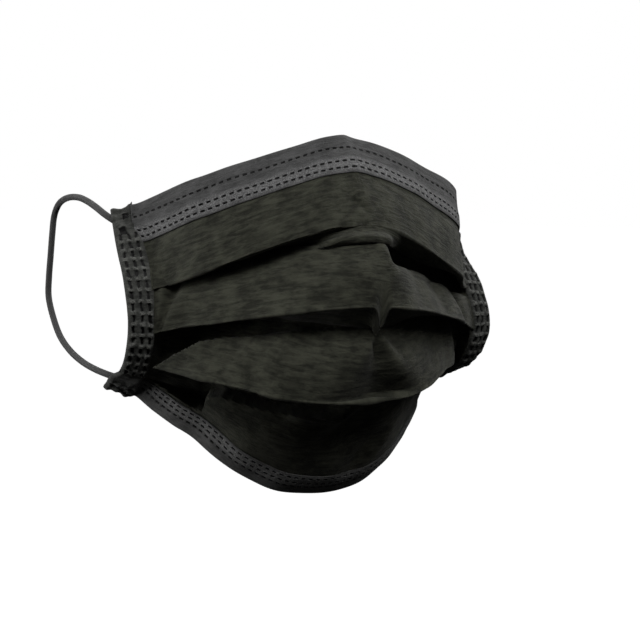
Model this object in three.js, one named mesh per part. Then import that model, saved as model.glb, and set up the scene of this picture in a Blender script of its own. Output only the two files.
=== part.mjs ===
// A pleated surgical mask in the form it takes on a face, in millimetres.
// X runs across the face, -Y is the front, +Z is up. The origin is at the inner face of the top binding, where
// the mask sits on the bridge of the nose. "left" pieces lie on -X and "right" pieces on +X.
import * as THREE from "three";

// Cloth and gaps
const WALL = 1.0;                 // thickness of the folded panel and of each binding's wall
const GAP = 0.35;                 // air between neighbouring pieces
const BAND_GAP = 0.9;             // and between the panel's ends and the side bands, whose facets differ
const FOLD_RADIUS = 0.75;         // centre line radius of a closed pleat edge
const LAYER_PITCH = 2 * FOLD_RADIUS;

// The mask laid flat
const SIDE_LENGTH = 90;           // length of a side band, measured down its outer edge
const SIDE_BAND_WIDTH = 8;
const SIDE_BAND_WALL = 2.6;       // all the welded layers together
const SIDE_BAND_OVERRUN = 1;      // how far a side band passes the top and bottom edges
const NOSE_BAND_HEIGHT = 14.2;    // cloth covered by the binding along the top edge
const CHIN_BAND_HEIGHT = 9.5;     // and by the one along the bottom edge

// The way the cloth runs where it enters a side band
const BAND_PLAN_ANGLE = 15.5;     // degrees that the band turns back from straight across
const BAND_RISE_TOP = 16;         // degrees that the cloth climbs inwards at the top corner
const BAND_RISE_BOTTOM = -18.5;   // and at the bottom corner

// Outer edge of the side bands, at equal steps down its length
const SIDE_EDGE = [
  { down: 0, left: 72, right: 69.5, y: 37.5, z: -23.5 },
  { down: 15, left: 72.5, right: 68, y: 29, z: -36 },
  { down: 30, left: 72.5, right: 70.8, y: 20.5, z: -48 },
  { down: 45, left: 71.5, right: 73.3, y: 17.5, z: -62.5 },
  { down: 60, left: 70, right: 72.2, y: 24.5, z: -75.5 },
  { down: 75, left: 68.5, right: 67.5, y: 37, z: -83 },
  { down: 90, left: 65.5, right: 63.5, y: 51, z: -88 },
];

// Lines across the mask from the top edge to the bottom edge, in the order in which the cloth meets them.
// down: where the line meets the side edge. midY, midZ: its middle. round: how blunt it is there.
// cheek*: where it turns back over the cheek. right*: what the right cheek adds to the left one.
// layer: how many closed layers lie in front of it in the side band.
const LAST_LAYER = 6;
const SHINGLE_START = 15;         // distance down the side band at which the layers start to step back
const SHINGLE_END = 72;
const CHEEK = 0.68;               // share of the way from the middle to a side band at which the cheek lies
const CHEEK_ROUND = 0.9;          // how roundly a line turns back there
const LINES = [
  { name: "top_edge", down: 0, midY: 1.5, midZ: 5, round: 0.4, layer: 0,
    cheekX: 50.5, cheekY: 13, cheekZ: -12, rightX: 1, rightY: -1.5, rightZ: 0.5 },
  { name: "first_fold", down: 35, midY: -18, midZ: -25.5, round: 0.8, layer: 0.5,
    cheekX: 49, cheekY: -1, cheekZ: -42, rightX: -0.5, rightY: 0, rightZ: -1 },
  { name: "first_valley", down: 24, midY: -10.5, midZ: -33, round: 0.8, layer: 1.5,
    cheekX: 44, cheekY: 7.5, cheekZ: -38, rightX: -0.5, rightY: 0, rightZ: -1 },
  { name: "second_fold", down: 49, midY: -27.5, midZ: -52.5, round: 0.9, layer: 2.5,
    cheekX: 48, cheekY: -3, cheekZ: -60, rightX: 0, rightY: 0.5, rightZ: 1 },
  { name: "second_valley", down: 38, midY: -18.5, midZ: -60.5, round: 0.9, layer: 3.5,
    cheekX: 43, cheekY: 5.5, cheekZ: -56, rightX: 0, rightY: 0.5, rightZ: 1 },
  { name: "third_fold", down: 62, midY: -17, midZ: -86, round: 1.7, layer: 4.5,
    cheekX: 50, cheekY: 1.5, cheekZ: -79.5, rightX: -1, rightY: 1, rightZ: 2 },
  { name: "third_valley", down: 51, midY: -7, midZ: -90, round: 1.4, layer: 5.5,
    cheekX: 45, cheekY: 10, cheekZ: -74.5, rightX: -1, rightY: 1, rightZ: 2 },
  { name: "bottom_edge", down: 90, midY: 13.5, midZ: -122, round: 1.6, layer: 6,
    cheekX: 46.5, cheekY: 29, cheekZ: -100, rightX: 0, rightY: 0, rightZ: 0 },
];

// The strip of cloth that follows each line: how far its middle swells out, and the places, as shares of its
// width, at which it is worked out.
const TOP_STRIP = LINES[1].down - LINES[0].down;
const BOTTOM_STRIP = LINES[7].down - LINES[6].down;
const BAND_ROWS = 4;                      // rows of places under each binding
const BEND_SHARE = 0.7;                   // width of a binding's bend over the edge, as a share of its legs'
const UNDER_NOSE_BAND = [0, 1, 2, 3].map((k) => k / 3 * NOSE_BAND_HEIGHT / TOP_STRIP);
const UNDER_CHIN_BAND = [3, 2, 1, 0].map((k) => 1 - k / 3 * CHIN_BAND_HEIGHT / BOTTOM_STRIP);
const STRIPS = [
  { from: "top_edge", swell: 1.5, shares: [...UNDER_NOSE_BAND, 0.52, 0.69, 0.85] },
  { from: "first_fold", swell: 0, shares: [0.33, 0.67] },
  { from: "first_valley", swell: 2, shares: [0.22, 0.44, 0.58, 0.8] },
  { from: "second_fold", swell: 0, shares: [0.33, 0.67] },
  { from: "second_valley", swell: 2.5, shares: [0.23, 0.46, 0.58, 0.8] },
  { from: "third_fold", swell: 0, shares: [0.33, 0.67] },
  { from: "third_valley", swell: 3.5, shares: [0.14, 0.28, 0.42, 0.6, ...UNDER_CHIN_BAND] },
];
const FOLD_ANGLES = [0, 60, 120, 180];    // degrees round a pleat edge
const PLEAT_REACH = 5;                    // how far from a pleat edge the run of its two strips is taken
const BOW_FADE = 4;                       // how late the strips take up the side bands' bow on their way there
const SWELL_FADE = 1.5;                   // how soon they lose their swell
const PANEL_COLUMNS = 30;
const SIDE_BAND_STEPS = 36;

// Ear loops: a round elastic cord, welded behind the corners of each side band
const CORD_DIAMETER = 2.4;
const CORD_SIDES = 8;
const CORD_STEPS = 34;
const RIGHT_LOOP_TOP_SHIFT = -3.2;        // how much wider the right loop stands than the left, at its top
const RIGHT_LOOP_BOTTOM_SHIFT = -2;
const LOOP_ROUTE = [
  [65.5, 35.7, -26.9],
  [68.3, 36.5, -27.6],
  [71.0, 38.0, -27.9],
  [72.6, 42.0, -26.2],
  [73.2, 48.5, -23.6],
  [73.2, 58.0, -21.4],
  [73.0, 68.5, -20.5],
  [73.0, 80.0, -20.9],
  [73.0, 89.5, -23.2],
  [73.0, 95.0, -27.8],
  [73.0, 96.8, -34.5],
  [73.0, 98.0, -43.0],
  [73.0, 99.2, -51.5],
  [73.0, 98.8, -59.0],
  [72.5, 94.0, -66.5],
  [72.0, 86.5, -73.0],
  [71.0, 77.0, -77.6],
  [70.0, 66.0, -80.4],
  [69.0, 56.0, -81.8],
  [67.6, 49.5, -82.6],
  [65.7, 46.4, -83.3],
  [62.9, 45.4, -84.2],
  [60.1, 44.6, -85.1],
];

const CHARCOAL_CLOTH = { color: 0x2e2f29, roughness: 0.95, metalness: 0 };
const GREY_BINDING = { color: 0x4a4a4a, roughness: 0.9, metalness: 0 };
const GREY_CORD = { color: 0x464646, roughness: 0.9, metalness: 0 };

const radians = THREE.MathUtils.degToRad;
const vector = (x, y, z) => new THREE.Vector3(x, y, z);
const along = (from, direction, distance) => from.clone().addScaledVector(direction, distance);
const towards = (from, to) => to.clone().sub(from).normalize();
const cross = (a, b) => vector(0, 0, 0).crossVectors(a, b);

// Smooth curve from p to q that leaves p with slope m and reaches q with slope n.
function hermite(p, q, m, n, s) {
  const s2 = s * s;
  const s3 = s2 * s;
  return vector(0, 0, 0)
    .addScaledVector(p, 2 * s3 - 3 * s2 + 1)
    .addScaledVector(m, s3 - 2 * s2 + s)
    .addScaledVector(q, 3 * s2 - 2 * s3)
    .addScaledVector(n, s3 - s2);
}

// Point of a side band's outer edge, `down` millimetres below its top corner.
function sideEdge(side, down) {
  const points = SIDE_EDGE.map((row) => vector(side * (side < 0 ? row.left : row.right), row.y, row.z));
  const step = SIDE_LENGTH / (points.length - 1);
  const cell = THREE.MathUtils.clamp(Math.floor(down / step), 0, points.length - 2);
  const before = points[cell - 1] ?? points[0].clone().multiplyScalar(2).sub(points[1]);
  const after = points[cell + 2] ?? points[cell + 1].clone().multiplyScalar(2).sub(points[cell]);
  const slopeIn = points[cell + 1].clone().sub(before).multiplyScalar(0.5);
  const slopeOut = after.sub(points[cell]).multiplyScalar(0.5);
  return hermite(points[cell], points[cell + 1], slopeIn, slopeOut, down / step - cell);
}

// Direction in which the cloth runs from a side edge towards the middle of the mask.
function inwards(side, down) {
  const plan = radians(BAND_PLAN_ANGLE);
  const rise = radians(THREE.MathUtils.lerp(BAND_RISE_TOP, BAND_RISE_BOTTOM, down / SIDE_LENGTH));
  return vector(-side * Math.cos(rise) * Math.cos(plan), -Math.cos(rise) * Math.sin(plan), Math.sin(rise));
}

// Direction square to a side band, towards the face.
function faceward(side, down) {
  const edge = towards(sideEdge(side, down - 1), sideEdge(side, down + 1));
  return cross(edge, inwards(side, down)).multiplyScalar(side).normalize();
}

// Depth behind the middle of a side band of one of its closed layers, counted from 0 at the front. The layers
// step back steadily down the band, so that the band stays in their middle.
function layerDepth(down, layer) {
  const share = (down - SHINGLE_START) / (SHINGLE_END - SHINGLE_START);
  return LAYER_PITCH * (layer - LAST_LAYER * THREE.MathUtils.clamp(share, 0, 1));
}

// Where a layer meets the inner edge of a side band.
function besideBand(side, down, layer) {
  const edge = along(sideEdge(side, down), faceward(side, down), layerDepth(down, layer));
  return along(edge, inwards(side, down), SIDE_BAND_WIDTH + BAND_GAP);
}

// How far strip k must leave its straight course to follow the bow of a side band, at a share of its width.
function bandBow(k, share, side) {
  const start = besideBand(side, LINES[k].down, k);
  const end = besideBand(side, LINES[k + 1].down, k);
  const down = THREE.MathUtils.lerp(LINES[k].down, LINES[k + 1].down, share);
  return besideBand(side, down, k).sub(start.lerp(end, share));
}

// Point of a line at `across`, which runs from -1 at the left side band to 1 at the right one.
function linePoint(line, across) {
  const side = across < 0 ? -1 : 1;
  const share = Math.abs(across);
  const middle = vector(0, line.midY, line.midZ);
  const cheek = vector(side * line.cheekX, line.cheekY, line.cheekZ);
  if (side > 0) cheek.add(vector(line.rightX, line.rightY, line.rightZ));
  const end = besideBand(side, line.down, line.layer);
  const inner = middle.distanceTo(cheek);
  const outer = cheek.distanceTo(end);
  const turn = towards(middle, cheek).multiplyScalar(outer)
    .addScaledVector(towards(cheek, end), inner).setLength(CHEEK_ROUND);
  if (share <= CHEEK) {
    const start = vector(side * line.round * inner, 0, 0);
    return hermite(middle, cheek, start, turn.multiplyScalar(inner), share / CHEEK);
  }
  const finish = inwards(side, line.down).multiplyScalar(-outer);
  return hermite(cheek, end, turn.multiplyScalar(outer), finish, (share - CHEEK) / (1 - CHEEK));
}

// The places round a pleat edge, from the layer before it to the layer after it. `run` is the way it runs.
function pleatEdge(before, point, after, run) {
  const back = towards(point, before);
  const on = towards(point, after);
  const tip = back.clone().add(on).normalize().negate();
  const apart = cross(run, tip).normalize();
  if (apart.dot(back.sub(on)) < 0) apart.negate();
  return FOLD_ANGLES.map(radians).map((angle) =>
    along(along(point, apart, FOLD_RADIUS * Math.cos(angle)), tip, FOLD_RADIUS * Math.sin(angle)));
}

// One vertical section of the folded cloth's centre line, from the top edge to the bottom edge.
function sectionPoints(across) {
  const side = across < 0 ? -1 : 1;
  const points = LINES.map((line) => linePoint(line, across));
  const nearer = LINES.map((line) => linePoint(line, across - 0.01 * side));
  const bowed = across ** BOW_FADE;
  const free = (1 - across ** 2) ** SWELL_FADE;
  const strip = (k, share) => points[k].clone().lerp(points[k + 1], share)
    .addScaledVector(bandBow(k, share, side), bowed);
  const edges = points.map((point, k) => {
    if (k === 0 || k === points.length - 1) return [point];
    const before = strip(k - 1, 1 - PLEAT_REACH / point.distanceTo(points[k - 1]));
    const after = strip(k, PLEAT_REACH / point.distanceTo(points[k + 1]));
    return pleatEdge(before, point, after, towards(point, nearer[k]));
  });
  return STRIPS.flatMap(({ swell, shares }, k) => {
    const start = edges[k].at(-1);
    const end = edges[k + 1][0];
    const out = cross(towards(points[k], nearer[k]), towards(start, end)).multiplyScalar(side).normalize();
    const inner = shares.map((share) => along(start.clone().lerp(end, share), out,
      swell * free * Math.sin(Math.PI * share)).addScaledVector(bandBow(k, share, side), bowed));
    return [...(k === 0 ? [] : edges[k]), ...inner];
  });
}

// Unit normals of a grid of points, pointing out of the front of the cloth, lengthened at sharp folds so that
// a wall made along them keeps its thickness.
function gridNormals(grid) {
  return grid.map((column, i) => {
    const previous = grid[Math.max(i - 1, 0)];
    const next = grid[Math.min(i + 1, grid.length - 1)];
    return column.map((point, j) => {
      const sideways = next[j].clone().sub(previous[j]).normalize();
      const above = j > 0 ? towards(column[j - 1], point) : towards(point, column[j + 1]);
      const below = j < column.length - 1 ? towards(point, column[j + 1]) : above;
      const normal = cross(above.clone().add(below), sideways).normalize();
      const lean = Math.sqrt(Math.max((1 + above.dot(below)) / 2, 0.5));
      return normal.divideScalar(lean);
    });
  });
}

const offsetGrid = (grid, normals, distance) =>
  grid.map((column, i) => column.map((point, j) => along(point, normals[i][j], distance)));

// A closed body between two grids of the same size.
function solidBetween(front, back) {
  const columns = front.length;
  const rows = front[0].length;
  const positions = [...front, ...back].flat().flatMap((point) => point.toArray());
  const at = (layer, i, j) => (layer * columns + i) * rows + j;
  const faces = [];
  const quad = (a, b, c, d) => faces.push(a, b, c, a, c, d);
  for (let i = 0; i + 1 < columns; i += 1) {
    for (let j = 0; j + 1 < rows; j += 1) {
      quad(at(0, i, j), at(0, i, j + 1), at(0, i + 1, j + 1), at(0, i + 1, j));
      quad(at(1, i, j), at(1, i + 1, j), at(1, i + 1, j + 1), at(1, i, j + 1));
    }
    const last = rows - 1;
    quad(at(0, i, 0), at(0, i + 1, 0), at(1, i + 1, 0), at(1, i, 0));
    quad(at(0, i, last), at(1, i, last), at(1, i + 1, last), at(0, i + 1, last));
  }
  for (let j = 0; j + 1 < rows; j += 1) {
    const last = columns - 1;
    quad(at(0, 0, j), at(1, 0, j), at(1, 0, j + 1), at(0, 0, j + 1));
    quad(at(0, last, j), at(0, last, j + 1), at(1, last, j + 1), at(1, last, j));
  }
  const geometry = new THREE.BufferGeometry();
  geometry.setAttribute("position", new THREE.Float32BufferAttribute(positions, 3));
  geometry.setIndex(faces);
  return facingOut(geometry);
}

// Turns a closed geometry whose faces point inwards the right way round.
function facingOut(geometry) {
  const position = geometry.getAttribute("position");
  const index = geometry.getIndex();
  const corner = (k) => vector(0, 0, 0).fromBufferAttribute(position, index.getX(k));
  let volume = 0;
  for (let k = 0; k < index.count; k += 3) {
    volume += corner(k).dot(cross(corner(k + 1), corner(k + 2)));
  }
  if (volume < 0) {
    for (let k = 0; k < index.count; k += 3) {
      const kept = index.getX(k + 1);
      index.setX(k + 1, index.getX(k + 2));
      index.setX(k + 2, kept);
    }
  }
  geometry.computeVertexNormals();
  return geometry;
}

function namedMesh(name, geometry, look) {
  const mesh = new THREE.Mesh(geometry, new THREE.MeshStandardMaterial(look));
  mesh.name = name;
  return mesh;
}

// The centre line sections of the whole panel, between the inner edges of the side bands.
const panelGrid = () =>
  Array.from({ length: PANEL_COLUMNS + 1 }, (_, i) => sectionPoints(2 * i / PANEL_COLUMNS - 1));

function pleatedPanel(grid) {
  const normals = gridNormals(grid);
  const solid = solidBetween(offsetGrid(grid, normals, WALL / 2), offsetGrid(grid, normals, -WALL / 2));
  return namedMesh("pleated_panel", solid, CHARCOAL_CLOTH);
}

// A binding folded over an edge of the panel: its front leg, the bend over the edge and its back leg.
function binding(name, grid, rows) {
  const normals = gridNormals(grid);
  const near = WALL / 2 + GAP;
  const wrap = (distance, clearance) => grid.map((column, i) => {
    const legs = rows.map((j) => ({ point: column[j], normal: normals[i][j] }));
    const edge = legs[legs.length - 1];
    const over = towards(legs[legs.length - 2].point, edge.point);
    const beyond = along(edge.point, over, clearance);
    const front = legs.map(({ point, normal }) => along(point, normal, distance));
    const back = legs.map(({ point, normal }) => along(point, normal, -distance)).reverse();
    const bend = [BEND_SHARE, -BEND_SHARE].map((share) => along(beyond, edge.normal, share * distance));
    return [...front, ...bend, ...back];
  });
  return namedMesh(name, solidBetween(wrap(near + WALL, GAP + WALL), wrap(near, GAP)), GREY_BINDING);
}

function sideBand(name, side) {
  const downs = Array.from({ length: SIDE_BAND_STEPS + 1 }, (_, i) =>
    THREE.MathUtils.lerp(-SIDE_BAND_OVERRUN, SIDE_LENGTH + SIDE_BAND_OVERRUN, i / SIDE_BAND_STEPS));
  const face = (depth) => downs.map((down) => {
    const outer = along(sideEdge(side, down), faceward(side, down), depth);
    return [outer, along(outer, inwards(side, down), SIDE_BAND_WIDTH)];
  });
  const half = SIDE_BAND_WALL / 2;
  return namedMesh(name, solidBetween(face(-half), face(half)), CHARCOAL_CLOTH);
}

function earLoop(name, side) {
  const route = new THREE.CatmullRomCurve3(LOOP_ROUTE.map(([x, y, z], k) => {
    const share = k / (LOOP_ROUTE.length - 1);
    const shift = side < 0 ? 0 : THREE.MathUtils.lerp(RIGHT_LOOP_TOP_SHIFT, RIGHT_LOOP_BOTTOM_SHIFT, share);
    return vector(side * (x + shift), y, z);
  }));
  const section = new THREE.Shape(Array.from({ length: CORD_SIDES }, (_, k) => {
    const angle = 2 * Math.PI * (k + 0.5) / CORD_SIDES;
    return new THREE.Vector2(Math.cos(angle), Math.sin(angle)).multiplyScalar(CORD_DIAMETER / 2);
  }));
  const cord = new THREE.ExtrudeGeometry(section, { steps: CORD_STEPS, extrudePath: route });
  return namedMesh(name, cord, GREY_CORD);
}

const grid = panelGrid();
const rows = grid[0].map((_, j) => j);

const mask = new THREE.Group();
mask.add(
  pleatedPanel(grid),
  binding("nose_band", grid, rows.slice(0, BAND_ROWS).reverse()),
  binding("chin_band", grid, rows.slice(-BAND_ROWS)),
  sideBand("side_band_left", -1),
  sideBand("side_band_right", 1),
  earLoop("ear_loop_left", -1),
  earLoop("ear_loop_right", 1),
);

export default mask;
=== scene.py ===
import math

import bpy
import numpy as np
from mathutils import Matrix, Vector


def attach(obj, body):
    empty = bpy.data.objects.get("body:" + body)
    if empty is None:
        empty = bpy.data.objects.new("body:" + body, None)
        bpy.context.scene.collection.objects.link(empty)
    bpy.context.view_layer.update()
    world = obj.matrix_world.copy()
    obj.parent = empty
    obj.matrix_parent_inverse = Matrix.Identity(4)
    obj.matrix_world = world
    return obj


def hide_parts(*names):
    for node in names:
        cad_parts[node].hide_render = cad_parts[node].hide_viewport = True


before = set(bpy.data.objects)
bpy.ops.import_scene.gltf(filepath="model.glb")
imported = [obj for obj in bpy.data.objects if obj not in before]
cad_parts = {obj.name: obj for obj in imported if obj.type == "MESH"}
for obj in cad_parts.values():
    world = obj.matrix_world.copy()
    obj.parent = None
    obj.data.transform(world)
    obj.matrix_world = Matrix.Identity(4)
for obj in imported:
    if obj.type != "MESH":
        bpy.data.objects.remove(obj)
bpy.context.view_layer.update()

# A pleated surgical mask of charcoal nonwoven cloth, in the form it takes on a face. X runs across the face,
# -Y is the front and +Z is up. Lengths are in millimetres until a mesh is made.
MM = 0.001

# Cloth
CLOTH = 0.5  # thickness of the folded cloth, all its plies together
PRESSED_CLOTH = 0.75  # share of it that is left where the cloth goes into a side band
OPEN_RADIUS = 0.45  # centre line radius of a pleat edge where the pleat stands open
CLOSED_RADIUS = 0.2  # and where it is pressed flat in a side band
LEAST_RADIUS = 0.12  # share of its radius that a pleat edge keeps where the cloth runs straight on
LAYER_PITCH = 2 * CLOSED_RADIUS
HALF_WIDTH = 80  # of the cloth between the side bands
NUDGE = 0.01  # share of that over which a direction across the cloth is measured

# Side bands
SIDE_LENGTH = 90  # of a side band, down its outer edge
SIDE_BAND_WIDTHS = [  # down, width
    (0, 7.9), (9, 7.5), (13, 9.2), (20, 9.9), (30, 10.1), (42, 9.2), (90, 9.0),
]
PLAIN_WIDTH = 9  # width on which the welds are laid out, before it is stretched or squeezed
MARGIN = 0.7  # the part of it at the inner edge that takes up any greater width
TUCK = 0.8  # how far the pleated cloth goes into the bands
BAND_PLAN_ANGLE = 15.5  # degrees that a band turns back from straight across
BAND_RISE_TOP = 16  # degrees that the cloth climbs inwards at the top corner
BAND_RISE_BOTTOM = -18.5  # and at the bottom corner
SIDE_EDGE = [  # outer edge of the side bands, at equal steps down its length
    # down, left, right, y, z
    (0, 72, 69.5, 37.5, -23.5),
    (15, 72.5, 67.5, 29, -36),
    (30, 72.5, 70.8, 20.5, -48),
    (45, 71.5, 73.3, 17.5, -62.5),
    (60, 70, 72.2, 24.5, -75.5),
    (75, 68.5, 65.3, 37, -83),
    (90, 65.5, 63.5, 51, -88),
]

# Lines across the mask from the top edge to the bottom edge, in the order in which the cloth meets them.
# down: where the line meets the left and the right side edge. mid: its middle. round: how blunt it is there.
# lip: how far its middle comes forward again. layer: how many closed layers lie in front of it in the side
# band. left, right: where it turns back over the cheeks.
LAST_LAYER = 6  # number of the closed layer that lies furthest back
SHINGLE_START = 15  # the layers step back one after the other, from this distance down a band
SHINGLE_END = 72  # to this one
CHEEK = 0.68  # share of the way to a band at which a line turns back
CHEEK_ROUND = 0.9  # how blunt it is there
BAND_ROUND = 0.6  # and where it runs into the band
LIP_SHAPE = ((0.27, 2.5), (0.23, 4))  # width and bluntness of a lip, left and right
LINES = [
    dict(down=(1.2, 1.2), mid=(1.5, 4.3), round=0.32, lip=0, layer=0,
         left=(-50.5, 13, -12.6), right=(51.5, 11.5, -12.8)),
    dict(down=(33.5, 31.5), mid=(-17.5, -25.5), round=0.8, lip=0, layer=0.5,
         left=(-49, -1, -42), right=(47.5, -1.5, -42.7)),
    dict(down=(23, 22), mid=(-10.5, -31.5), round=0.8, lip=9.5, layer=1.5,
         left=(-44, 7.5, -38), right=(43, 8.5, -41)),
    dict(down=(47.5, 46.5), mid=(-27.5, -52.5), round=0.9, lip=0, layer=2.5,
         left=(-48, -3, -60), right=(48, -2.5, -59)),
    dict(down=(38, 37), mid=(-18.5, -60.5), round=0.9, lip=0, layer=3.5,
         left=(-43, 5.5, -56), right=(42, 7, -56)),
    dict(down=(61.5, 60), mid=(-19.5, -86), round=1.7, lip=0, layer=4.5,
         left=(-50, 1.5, -79.5), right=(45.5, 1, -76.5)),
    dict(down=(51, 50), mid=(-8, -86.5), round=1.4, lip=0, layer=5.5,
         left=(-45, 10, -74.5), right=(42, 11, -73)),
    dict(down=(89.5, 89.5), mid=(14, -122.9), round=1.4, lip=0, layer=6,
         left=(-46.8, 29, -100.3), right=(46.6, 29.2, -100.4)),
]
SWELLS = (1.5, 0, 2, 0, 2.5, 0, 2.5)  # how far the middle of each strip between two lines swells
STRIP_ROWS = (24, 14, 20, 6, 30, 6, 44)  # rows of points in each strip
FOLD_ANGLES = np.radians(np.linspace(0, 180, 9))  # rows round a pleat edge
PLEAT_REACH = 5  # how far from a pleat edge its two layers are looked at
BOW_FADE = 4  # how late the strips take up the bow of the side bands
SWELL_FADE = 1.5  # how soon the swells die away towards them
PANEL_COLUMNS = 200
COLUMN_CROWDING = 0.15  # how much the columns crowd towards the side bands
HELD = 0.035  # share of the half width beside a band over which the small folds die away
WRINKLE = 0.35  # height of the soft wrinkles all over the cloth

# Small folds of the cloth. Each runs from one place to another, given as u, the distance from the middle over
# the flat cloth, and the distance down the side band. strips: the strips between two lines that it bends.
# width: of a ridge or hollow, half of it at either end. step: how wide the bend of a step is, and how far the
# step reaches above or to the right of its course. height: at either end, out of the cloth, or forwards where
# straight is true. fade: over what distance it dies away at its ends. edge: it bends only the turn between
# its two strips.
STEP_FADE = 3  # over what distance a step comes back beyond its reach
FOLDS = [
    # hollow beside the right end of the third layer
    dict(strips=(4, 5, 6), start=(62, 42), end=(65, 63), step=(1.6, 11), height=(-6, -6), fade=5,
         straight=True),
    # crease at the left end of the second layer
    dict(strips=(2,), start=(-68, 30), end=(-75.5, 46), width=(2.6, 1.2), height=(-2.6, -1), fade=3),
    dict(strips=(2,), start=(-74, 33), end=(-77, 44), width=(1.8, 1), height=(0.8, 0.4), fade=3),
    # ridge on the second layer, and the hollow behind it
    dict(strips=(2,), start=(5.5, 25), end=(8.5, 38), width=(3.2, 3.8), height=(1.3, 0.4), fade=5),
    dict(strips=(2,), start=(14, 26.5), end=(76, 33.5), step=(3, 14), height=(-3.5, -3), fade=7),
    dict(strips=(2,), start=(10.5, 30.5), end=(34, 29), step=(3, 14), height=(-4.5, -2), fade=4),
    # inward roll of the bottom edge
    dict(strips=(6,), start=(-20, 91), end=(44, 91), width=(7, 7), height=(-1, -1), fade=16),
    # hollow over the left end of the chin binding
    dict(strips=(6,), start=(-76, 80), end=(-42, 79), width=(8, 9), height=(-3.6, -2.2), fade=14),
    # hollow of the chin
    dict(strips=(6,), start=(4, 60), end=(14, 72), width=(10, 9), height=(-4.5, -4), fade=6),
    # point on the third layer, under the tongue of the second, and the hollow below it
    dict(strips=(4,), start=(5.5, 40.5), end=(13, 53), width=(1.4, 3), height=(1.6, 1.2), fade=2),
    dict(strips=(4,), start=(3.4, 42.5), end=(5.5, 60), width=(1.2, 9.5), height=(-2.6, -6), fade=2),
    dict(strips=(4, 5), start=(5, 54), end=(7, 63), width=(6, 9), height=(-1, -2.6), fade=4, straight=True),
    # ridge of the lip over the first valley, and the groove along the valley
    dict(strips=(1,), start=(-18, 24.8), end=(8, 24.6), width=(3.4, 3.4), height=(2.4, 2), fade=5),
    dict(strips=(1, 2), start=(-24, 22.6), end=(12, 22.3), width=(4, 4), height=(-1.8, -1.8), fade=6,
         edge=True),
    # crease at the right end of the second layer
    dict(strips=(2,), start=(58, 30), end=(65, 45), width=(4.5, 4), height=(-3.6, -2.6), fade=4),
    # hollow at the right of the second layer
    dict(strips=(2,), start=(38, 33), end=(42, 46), width=(6, 6), height=(-1.4, -1.4), fade=4),
    # dents
    dict(strips=(0,), start=(-5, 24), end=(0.5, 27), width=(1.2, 1.2), height=(-0.7, -0.7), fade=2),
    dict(strips=(6,), start=(-16, 56.5), end=(-1, 56), width=(2, 2), height=(1.8, 1.8), fade=3),
]

# Where the second layer hangs down in a tongue. u: its middle. left, right: how wide it is on either side.
# drop: how far its tip moves. top, foot: where it starts and ends, counted in strips from the top edge, each
# with the distance over which it fades.
TONGUE = dict(u=3.2, left=2.8, right=1.0, drop=(0.2, 3.5, -7.5), top=(2.6, 0.4), foot=(3.95, 0.7))

# Creases behind which the cloth is tucked away. course: its places, given as above, with how deep the cloth
# goes there; it goes in on the upper or left side of the course. reach: how far it stays in, and over what
# distance it comes back. way: the direction in which it goes, in millimetres for each millimetre of depth.
# late: only the strips after the first one are drawn in wholly. rise: the depth grows between these two
# distances from the middle.
TUCKS = [
    # over the left corner of the third layer
    dict(strips=(4, 5, 6), reach=(15, 4), way=(0.65, 0.9, -0.45),
         course=[(-81, 64, 7), (-73, 58.6, 8), (-68, 54.1, 8), (-60, 48.5, 8), (-50, 46.2, 7), (-40, 44.6, 5),
                 (-24, 40.5, 1)]),
    # over the lip between the first fold and the first valley
    dict(strips=(1,), reach=(26, 8), way=(0.2, 0.95, 0),
         course=[(3, 35.5, 0.6), (-4, 32.5, 1.2), (-14, 27.5, 2.6), (-23, 22, 4)]),
    # under the left half of the third layer
    dict(strips=(5, 6), reach=(34, 5), way=(0.6, 0.85, 0.05), late=True, rise=(-80, -54),
         course=[(-79, 72.8, 6), (-64, 75.6, 12), (-54, 76, 13), (-49.5, 74.4, 13), (-50, 66, 12),
                 (-44, 62, 10), (-32, 60, 10), (-18, 57, 10), (-6, 55.6, 7), (2, 54.6, 0)]),
]
TUCK_CREASE = 1.8  # how wide the turn at a crease is

# Bindings: strips folded over the top and the bottom edge. spread: places across, and the share of its height
# that a strip has there. dash_rows: distances of the rows of dashes from the edge.
NOSE_BAND = dict(height=14.2, spread=[(-1, 1), (1, 1)], dash_rows=(4.5, 9.8, 12.3))
CHIN_BAND = dict(height=9.2, spread=[(-1, 1.3), (-0.6, 1.3), (-0.15, 1), (1, 1)], dash_rows=(3.7, 5.9, 8.0))
STRIP_WALL = 0.35  # thickness of a strip
STRIP_AIR = 0.1  # between a strip and the cloth inside it
STRIP_CELL = (0.8, 1.1)  # widest cell of its mesh, along and across it
STRIP_TURN = np.radians(np.linspace(90, -90, 9)[1:-1])  # rows round its folded edge
DASH = (1.7, 0.8)  # length and width of a weld dash
DASH_PITCH = 2.75
DASH_RAMP = 0.15  # width of a dash's sloping walls
DASH_DEPTH = 0.3  # in a strip's outer face
INNER_DASH_DEPTH = 0.05  # and in its inner face
DASH_PAD = (*DASH, 0.12)  # size of the melted film in a dash
PUFF = 0.22  # how far a strip swells round its last two rows of dashes
PUFF_START = 1.6  # from this far before the second row
PUFF_END = 0.3  # to this far from its free edge
PUFF_FADE = 0.6  # and over what distance it starts and ends

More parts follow.
